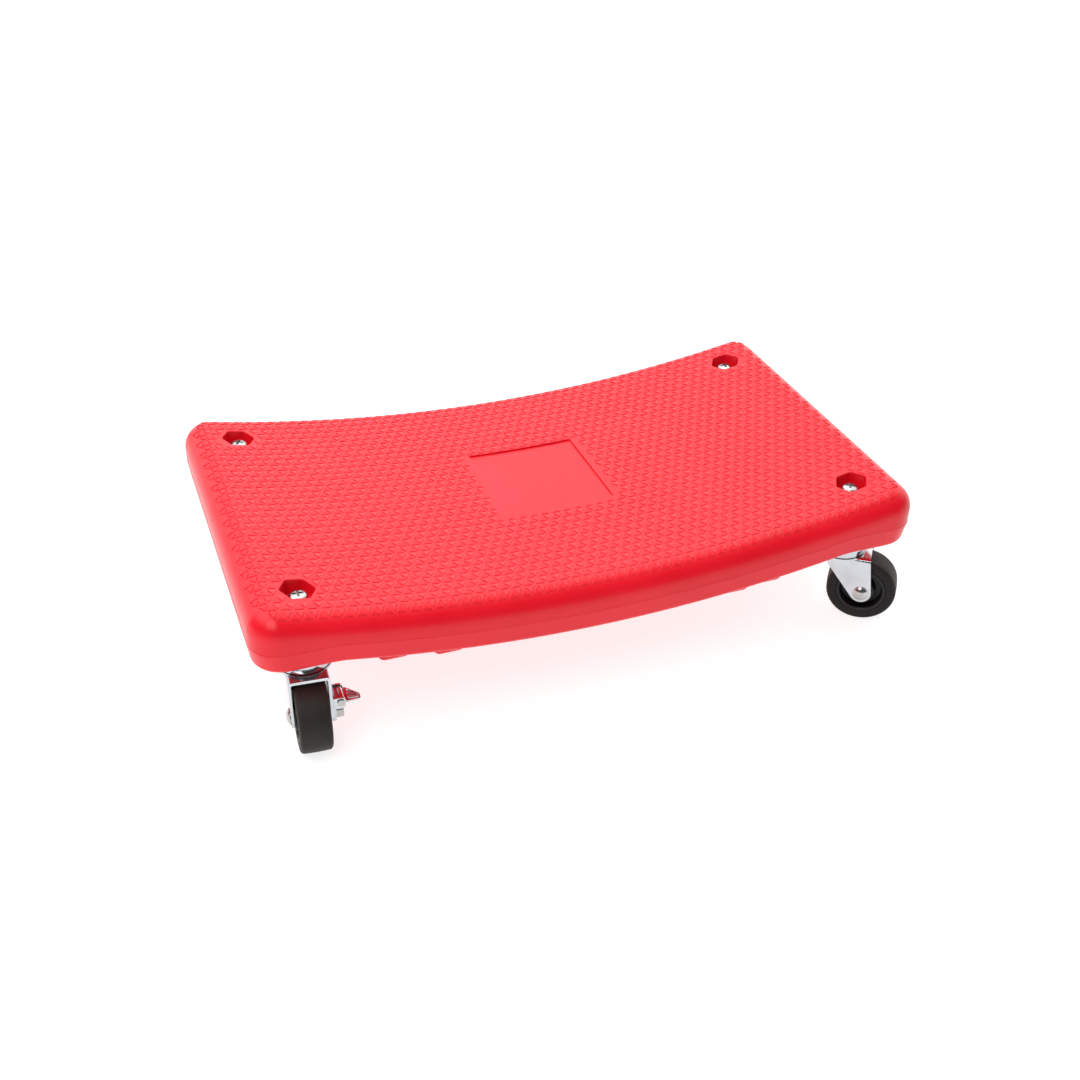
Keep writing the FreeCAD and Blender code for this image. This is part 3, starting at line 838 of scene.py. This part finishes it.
# %% [markdown]
# ## Fork
# The fork is pressed from sheet: a round crown with two legs folded down. A block with
# rounded shoulders is hollowed from below, which gives the folded sheet, and it is then
# trimmed to the leg's side view. The crown with its raised ball race is turned and joined
# on. A last fine bevel rounds all the cut edges, because bright edges are what makes
# plated sheet look like sheet.

# %% Side view of a leg
leg_end = 7.5 * mm
leg_rear = (-6.8 * mm, 46.9 * mm)
crown_drop = 0.4 * mm
crown_level_end = 6 * mm


def touch_angle(point, side):
    """Angle on the leg's round end where a line from a point touches it, in degrees."""
    across, up = point[0] - trail, point[1] - axle_height
    swing = math.acos(leg_end / math.hypot(across, up))
    return math.degrees(math.atan2(up, across) + side * swing)


def extrude_outline(name, outline, low, high):
    """A plate drawn in the XZ plane and extruded from one Y to another."""
    piece = trace_outline(name, outline, low)
    bpy.ops.mesh.select_all(action="SELECT")
    bpy.ops.mesh.edge_face_add()
    extrude_by(0, high - low, 0)
    bpy.ops.mesh.select_all(action="SELECT")
    bpy.ops.mesh.normals_make_consistent(inside=False)
    end_edit()
    return piece


front_corner = (crown_front, crown_top)
leg_outline = round_corner((trail, axle_height), leg_end, touch_angle(front_corner, -1) + 360,
                           touch_angle(leg_rear, 1), 14)
leg_outline = leg_outline[::-1] + [(crown_front, crown_top + 2 * mm)]
leg_outline += [(leg_rear[0], crown_top + 2 * mm), leg_rear]
print("leg outline points", len(leg_outline))

# %% [markdown]
# The crown is the round top of the fork, with a step up in the middle and a groove for the
# lower balls. It is drawn as a half section and turned.

# %% Crown outline
crown_radius = 18.5 * mm
race_low = 56.05 * mm
race_top = race_low + sheet
race_inner = 5.55 * mm
lower_step = (13.2 * mm, 14.2 * mm)
upper_step = (16.2 * mm, 15.3 * mm, 14.4 * mm)
step_height = 0.8 * mm
ball_track = (11 * mm, race_top + 1.1 * mm)
track_radius = 2.05 * mm
crown_low = crown_top - sheet
crown_outline = [(race_inner, race_low), (lower_step[0], race_low), (lower_step[1], crown_low)]
crown_outline += [(crown_radius, crown_low), (crown_radius, crown_top), (upper_step[0], crown_top)]
crown_outline += [(upper_step[1], race_top - step_height), (upper_step[2], race_top)]
crown_outline += round_corner(ball_track, track_radius, -32.5, -147.5, 5)
crown_outline += [(race_inner, race_top)]
print("crown outline points", len(crown_outline))


# %% [markdown]
# Folding is imitated by a hollow block, because the inner and outer rounds of a real fold
# share a centre and a bevel on each block gives just that. Only the sheet in front of the
# crown is tipped down a little, as it springs when the legs are folded.

# %% Fold, trim and join the fork
fold_outer = 3 * mm
fold_inner = 1.3 * mm
leg_corner = 2 * mm
cut_edge = 0.35 * mm
window_half = 4 * mm
window_low = (trail - window_half, leg_inner - mm, 30.8 * mm)
window_high = (trail + window_half, leg_outer + 3 * mm, 37.1 * mm)


def fold_sheet():
    """A channel of sheet, open below, as long as the leg's side view is wide."""
    rear, front = leg_rear[0] - mm, trail + leg_end + mm
    fork = add_block("fork", (rear, -leg_outer, 0), (front, leg_outer, crown_top))
    bevel_edges(fork, lambda at, along: at.z > crown_top - loose and abs(along.x) > 0.9,
                fold_outer, 6)
    room_top = crown_top - sheet
    room = add_block("room", (rear - mm, -leg_inner, -mm), (front + mm, leg_inner, room_top))
    bevel_edges(room, lambda at, along: at.z > room_top - loose and abs(along.x) > 0.9,
                fold_inner, 4)
    combine(fork, room, "DIFFERENCE")
    return fork


def is_leg_corner(at, along):
    """True on the edges of the trimming plate that cut the leg's rear corner."""
    corner = Vector((leg_rear[0], at.y, leg_rear[1]))
    return abs(along.y) > 0.9 and (at - corner).length < loose


def make_fork(window):
    """The whole fork, with a window for the brake pad in one leg where it's given."""
    fork = fold_sheet()
    side = extrude_outline("side", leg_outline, -2 * leg_outer, 2 * leg_outer)
    bevel_edges(side, is_leg_corner, leg_corner, 4)
    combine(fork, side, "INTERSECT")
    race_room = add_rod("race_room", leg_inner - 0.2 * mm, crown_top - 2 * sheet, crown_top + mm, 48)
    combine(fork, race_room, "DIFFERENCE")
    bisect_piece(fork, (crown_level_end, 0, 0), (1, 0, 0))
    for vertex in fork.data.vertices:
        if vertex.co.z > crown_top - 4 * mm and vertex.co.x > crown_level_end:
            share = (vertex.co.x - crown_level_end) / (crown_front - crown_level_end)
            vertex.co.z -= crown_drop * min(share, 1)
    combine(fork, turn_outline("crown", crown_outline, 64), "UNION")
    if window:
        combine(fork, add_block("window", window[0], window[1]), "DIFFERENCE")
    apply_modifier(fork, "BEVEL", width=cut_edge, segments=2, limit_method="ANGLE",
                   angle_limit=math.radians(50))
    smooth_piece(fork)
    apply_modifier(fork, "WEIGHTED_NORMAL", keep_sharp=True)
    return fork


plain_fork = make_fork(None)
brake_fork = make_fork((window_low, window_high))
print("fork faces", len(plain_fork.data.polygons), len(brake_fork.data.polygons))

# %% [markdown]
# ## Brake lever
# The brake's foot wing is a small cast plate with raised ribs, on a knuckle that swings on a
# pin. The wing is drawn as an outline and extruded, its tip is rounded, and three ribs with
# rounded ends are added on top before it is tipped down a little towards its end.

# %% Brake sizes
pivot_height = joint_place["brake_" + braked[0]].z
pivot_y = leg_outer + 4.8 * mm
knuckle_radius = 2.9 * mm
knuckle_half = 5.8 * mm
wing_thickness = 1.5 * mm
wing_root = 7.25 * mm
wing_tip = 2.5 * mm
wing_reach = 14.2 * mm
wing_start = leg_outer + 8.3 * mm
wing_droop = 4.9 * mm
wing_sink = 1.2 * mm
wing_inner = 3.6 * mm
wing_rib = 0.75 * mm
pin_room = 1.55 * mm
lever_edge = 0.3 * mm
tip_round = 1.2 * mm
rib_spread = 0.55
rib_round = 0.5 * mm


def lay_on_pivot(piece):
    """Turn a rod made about Z, and centred on the wheel's plane, onto the brake's pivot."""
    turn = Matrix.Rotation(math.pi / 2, 4, "Y")
    piece.data.transform(Matrix.Translation((trail, pivot_y, pivot_height)) @ turn)


print("pivot height", pivot_height, "across", pivot_y)


# %% [markdown]
# The wing is modelled flat and turned into place as the last step: flat work lets each edge
# be found by its direction, which would be hard once the wing is tipped.

# %% Foot wing
def make_wing():
    """The foot wing drawn flat, root at the origin, reaching along +Z, ribs towards +Y."""
    root = wing_start - pivot_y
    half = [(knuckle_half, -wing_inner), (knuckle_half, root), (wing_root, root + 0.6 * mm)]
    half += [(wing_tip, wing_reach)]
    outline = half + [(-x, z) for x, z in half[::-1]]
    wing = extrude_outline("wing", outline, 0, wing_thickness)
    bevel_edges(wing, lambda at, along: abs(along.y) > 0.9 and at.z > 3 * mm, tip_round, 4)
    bevel_edges(wing, lambda at, along: abs(along.y) < 0.1, lever_edge, 2)
    for side in (-rib_spread, 0, rib_spread):
        start = Vector((side * wing_root, 0, root + 1.4 * mm))
        end = Vector((side * wing_tip, 0, wing_reach - 1.6 * mm))
        rib = add_rod("rib", wing_rib, 0, (end - start).length, 16)
        bevel_edges(rib, lambda at, along: abs(along.z) < 0.1, rib_round, 3)
        lean = Vector((0, 0, 1)).rotation_difference(end - start).to_matrix().to_4x4()
        rib.data.transform(Matrix.Translation(start) @ lean)
        combine(wing, rib, "UNION")
    return wing


def make_lever():
    """The wing joined on the knuckle, with the pin's hole through it."""
    lever = add_rod("lever", knuckle_radius, -knuckle_half, knuckle_half, 40)
    lay_on_pivot(lever)
    bevel_edges(lever, lambda at, along: abs(along.x) < 0.1, lever_edge, 2)
    wing = make_wing()
    top = pivot_height + knuckle_radius - wing_sink
    stand = Matrix(((1, 0, 0, trail), (0, 0, 1, pivot_y), (0, -1, 0, top), (0, 0, 0, 1)))
    root = Matrix.Translation((0, pivot_y, top))
    tip_down = Matrix.Rotation(-math.atan2(wing_droop, wing_reach), 4, "X")
    wing.data.transform(root @ tip_down @ root.inverted() @ stand)
    combine(lever, wing, "UNION")
    room = add_rod("pin_room", pin_room, -9 * mm, 9 * mm, 32)
    lay_on_pivot(room)
    combine(lever, room, "DIFFERENCE")
    smooth_piece(lever)
    return lever


lever = make_lever()
print("lever faces", len(lever.data.polygons))

# %% [markdown]
# ## Finishes
# Every finish is built from procedural nodes that read the object's own coordinates, so it
# needs no picture and stays put when a part moves. On the creeper each one has a slow drift
# in colour, a finer change in roughness and a fine grain, because no surface is quite even.

# %% Material helpers
def new_finish(name, roughness, metallic=0.0):
    """A material and its shader, to be built up by the helpers below."""
    material = bpy.data.materials.new(name)
    material.use_nodes = True
    shader = material.node_tree.nodes["Principled BSDF"]
    shader.inputs["Roughness"].default_value = roughness
    shader.inputs["Metallic"].default_value = metallic
    return material, shader


def add_noise(material, scale, detail):
    """Noise in the object's own coordinates."""
    nodes, links = material.node_tree.nodes, material.node_tree.links
    place = nodes.new("ShaderNodeTexCoord")
    noise = nodes.new("ShaderNodeTexNoise")
    noise.inputs["Scale"].default_value = scale
    noise.inputs["Detail"].default_value = detail
    links.new(place.outputs["Object"], noise.inputs["Vector"])
    return noise.outputs["Fac"]


def vary_colour(material, shader, dark, light, scale):
    """Let the colour drift between two shades."""
    nodes, links = material.node_tree.nodes, material.node_tree.links
    ramp = nodes.new("ShaderNodeValToRGB")
    ramp.color_ramp.elements[0].position = 0.35
    ramp.color_ramp.elements[0].color = (*dark, 1)
    ramp.color_ramp.elements[1].position = 0.65
    ramp.color_ramp.elements[1].color = (*light, 1)
    links.new(add_noise(material, scale, 3), ramp.inputs["Fac"])
    links.new(ramp.outputs["Color"], shader.inputs["Base Color"])


def vary_roughness(material, shader, low, high, scale):
    """Let the roughness change finely between two values."""
    nodes, links = material.node_tree.nodes, material.node_tree.links
    spread = nodes.new("ShaderNodeMapRange")
    spread.inputs["To Min"].default_value = low
    spread.inputs["To Max"].default_value = high
    links.new(add_noise(material, scale, 4), spread.inputs["Value"])
    links.new(spread.outputs["Result"], shader.inputs["Roughness"])


def add_grain(material, shader, scale, depth):
    """Fine bumps, with their depth in metres."""
    nodes, links = material.node_tree.nodes, material.node_tree.links
    bump = nodes.new("ShaderNodeBump")
    bump.inputs["Strength"].default_value = 1
    bump.inputs["Distance"].default_value = depth
    links.new(add_noise(material, scale, 2), bump.inputs["Height"])
    links.new(bump.outputs["Normal"], shader.inputs["Normal"])


def use_finish(piece, material):
    """Give a piece one material."""
    piece.data.materials.clear()
    piece.data.materials.append(material)


# %% [markdown]
# The deck is coloured through, so it has one strong red with a satin skin. The mould's
# texture gives it a fine grain, which breaks up the bright band along the rim.

# %% Red polyethylene
red, red_shader = new_finish("deck_red", 0.42)
vary_colour(red, red_shader, (0.80, 0.005, 0.017), (0.87, 0.007, 0.022), 18)
vary_roughness(red, red_shader, 0.28, 0.38, 90)
add_grain(red, red_shader, 1400, 0.06 * mm)
red_shader.inputs["IOR"].default_value = 1.40
use_finish(deck, red)
use_finish(marks, red)
print("deck finish", red.name)

# %% [markdown]
# The pressed parts are bright plated: nearly a mirror, with the slight waviness of sheet
# that was drawn in a press. The bolts and nuts are plainer steel, a little duller.

# %% Plated steel
chrome, chrome_shader = new_finish("pressed_chrome", 0.14, 1.0)
vary_colour(chrome, chrome_shader, (0.50, 0.54, 0.57), (0.59, 0.62, 0.65), 60)
vary_roughness(chrome, chrome_shader, 0.08, 0.18, 220)
add_grain(chrome, chrome_shader, 350, 0.02 * mm)
zinc, zinc_shader = new_finish("bright_steel", 0.22, 1.0)
vary_colour(zinc, zinc_shader, (0.42, 0.42, 0.41), (0.54, 0.54, 0.53), 150)
vary_roughness(zinc, zinc_shader, 0.16, 0.30, 500)
add_grain(zinc, zinc_shader, 900, 0.01 * mm)
print("metal finishes", chrome.name, zinc.name)

# %% [markdown]
# The tread is a brownish black that scatters light evenly. It is painted paler than the side
# walls, partly with dust it picks up as it rolls and partly with a painted sheen for the light
# it catches. The tyre's mesh marks its tread points, so the finish can tell the two apart on
# all four wheels, whichever way they face. The hub is a harder, smoother black, and it lies
# deep in the wheel, so it reads as almost pure black.

# %% Rubber and black plastics
def add_dust_and_sheen(material, shader, attribute, side_wall_colour):
    """Keep the shade set so far, paler with dust and a painted sheen, where the attribute is 1, and a
    darker one elsewhere.
    """
    nodes, links = material.node_tree.nodes, material.node_tree.links
    shade = shader.inputs["Base Color"].links[0].from_socket
    rolled = nodes.new("ShaderNodeAttribute")
    rolled.attribute_name = attribute
    mix = nodes.new("ShaderNodeMix")
    mix.data_type = "RGBA"
    links.new(rolled.outputs["Fac"], mix.inputs[0])
    mix.inputs[6].default_value = (*side_wall_colour, 1)
    links.new(shade, mix.inputs[7])
    links.new(mix.outputs[2], shader.inputs["Base Color"])


rubber, rubber_shader = new_finish("tread_rubber", 0.6)
# The paler tread shade is partly dust and partly a painted sheen; the side walls keep a darker shade.
vary_colour(rubber, rubber_shader, (0.016, 0.012, 0.011), (0.026, 0.020, 0.018), 80)
add_dust_and_sheen(rubber, rubber_shader, "tread", (0.005, 0.0045, 0.004))
vary_roughness(rubber, rubber_shader, 0.52, 0.68, 300)
add_grain(rubber, rubber_shader, 1800, 0.03 * mm)
rubber_shader.inputs["IOR"].default_value = 1.36
hub_black, hub_shader = new_finish("hub_black", 0.4)
vary_colour(hub_black, hub_shader, (0.007, 0.006, 0.006), (0.012, 0.011, 0.011), 90)
vary_roughness(hub_black, hub_shader, 0.34, 0.48, 300)
add_grain(hub_black, hub_shader, 1500, 0.02 * mm)
hub_shader.inputs["IOR"].default_value = 1.36
print("black finishes", rubber.name, hub_black.name)

# %% [markdown]
# ## Put the casters together
# Each finished piece is copied to its corners and takes its finish there. The axle bolt is
# longer where a brake bracket is clamped under its nut.

# %% Give each piece its corners and finish
share_out(tyre, "tyre", corners, "wheel", rubber)
share_out(hub, "wheel_hub", corners, "wheel", hub_black)
share_out(cap, "race_cap", corners, "deck", chrome)
share_out(deck_bolt, "deck_bolt", corners, "deck", zinc)
unbraked = [corner for corner in corners if corner not in braked]
plain_bolt = turn_axle_bolt(leg_outer + nut_height)
share_out(plain_bolt, "axle_bolt", unbraked, "caster", zinc)
long_bolt = turn_axle_bolt(leg_outer + bracket_sheet + nut_height)
share_out(long_bolt, "axle_bolt", braked, "caster", zinc)
share_out(plain_fork, "fork", unbraked, "caster", chrome)
share_out(brake_fork, "fork", braked, "caster", chrome)
share_out(lever, "brake_lever", braked, "brake", chrome)

# %% [markdown]
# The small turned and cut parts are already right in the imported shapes: the swivel pin, its
# ball ring and nut, the axle's sleeve and nut, and the brake's bracket, pin and pad. They
# stay as they are and only take a finish.

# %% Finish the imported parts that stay
kept_finish = {"kingpin": zinc, "ball_ring": chrome, "lock_nut": zinc, "axle_sleeve": zinc,
               "axle_nut": zinc, "brake_bracket": chrome, "brake_pivot": zinc, "brake_pad": hub_black}
kept = 0
for kind, finish in kept_finish.items():
    for corner in corners:
        if kind + "_" + corner in frame["nodes"]:
            use_finish(frame["nodes"][kind + "_" + corner], finish)
            kept += 1
print("packed parts kept", kept)

# %% [markdown]
# ## Floor, light and colour
# The floor is pale and glows a little, so the space under the deck stays light. The sky is
# brightest behind the deck and darkest in front: the flat top then picks up a pale sheen,
# the rolled front rim stays a deep red, and the plated parts get dark bands.

# %% Floor
floor_size = 12
floor_glow = 0.8
clear_selection()
bpy.ops.mesh.primitive_plane_add(size=floor_size)
floor = bpy.context.object
floor.name = "studio_floor"
pale, pale_shader = new_finish("pale_floor", 0.7)
vary_colour(pale, pale_shader, (0.36, 0.36, 0.36), (0.40, 0.40, 0.40), 3)
pale_shader.inputs["Emission Color"].default_value = (1, 1, 1, 1)
pale_shader.inputs["Emission Strength"].default_value = floor_glow
use_finish(floor, pale)
print("floor", tuple(floor.dimensions))

# %% [markdown]
# A plain grey sky would make every face of the deck equally pale. This one depends on the
# direction only: a dot product tells how far a direction leans to the bright side.

# %% Sky
sky_bright_side = (0.30, 0.77, 0.56)
sky_dark = 0.10
sky_light = 1.7
fade_start = 0.15
fade_end = 0.85
world = bpy.data.worlds.new("studio")
bpy.context.scene.world = world
world.use_nodes = True
sky_nodes, sky_links = world.node_tree.nodes, world.node_tree.links
direction = sky_nodes.new("ShaderNodeTexCoord")
towards = sky_nodes.new("ShaderNodeVectorMath")
towards.operation = "DOT_PRODUCT"
towards.inputs[1].default_value = sky_bright_side
fade = sky_nodes.new("ShaderNodeMapRange")
fade.interpolation_type = "SMOOTHSTEP"
fade.inputs["From Min"].default_value = fade_start
fade.inputs["From Max"].default_value = fade_end
fade.inputs["To Min"].default_value = sky_dark
fade.inputs["To Max"].default_value = sky_light
sky_links.new(direction.outputs["Generated"], towards.inputs[0])
sky_links.new(towards.outputs["Value"], fade.inputs["Value"])
sky_links.new(fade.outputs["Result"], sky_nodes["Background"].inputs["Strength"])
sky_nodes["Background"].inputs["Color"].default_value = (1, 1, 1, 1)
bpy.context.scene.view_settings.view_transform = "Standard"
print("sky from", sky_dark, "to", sky_light)


# %% [markdown]
# Three large square lights do the rest. They are big and near, so their shadows have no
# hard edge, and the one in front is high, so it lights the rim and isn't mirrored in it.

# %% Soft lights
light_aim = Vector((0, 0, 0.08))


def add_softbox(name, place, size, power):
    """A square soft light that points at the deck."""
    light = bpy.data.objects.new(name, bpy.data.lights.new(name, "AREA"))
    bpy.context.scene.collection.objects.link(light)
    light.data.size = size
    light.data.energy = power
    light.location = place
    light.rotation_euler = (Vector(place) - light_aim).to_track_quat("Z", "Y").to_euler()


add_softbox("key_softbox", (-1.1, 0.2, 1.3), 1.0, 6)
add_softbox("top_softbox", (0.2, 0.5, 1.8), 1.4, 6)
add_softbox("fill_softbox", (-0.9, -0.9, 1.6), 1.0, 16)
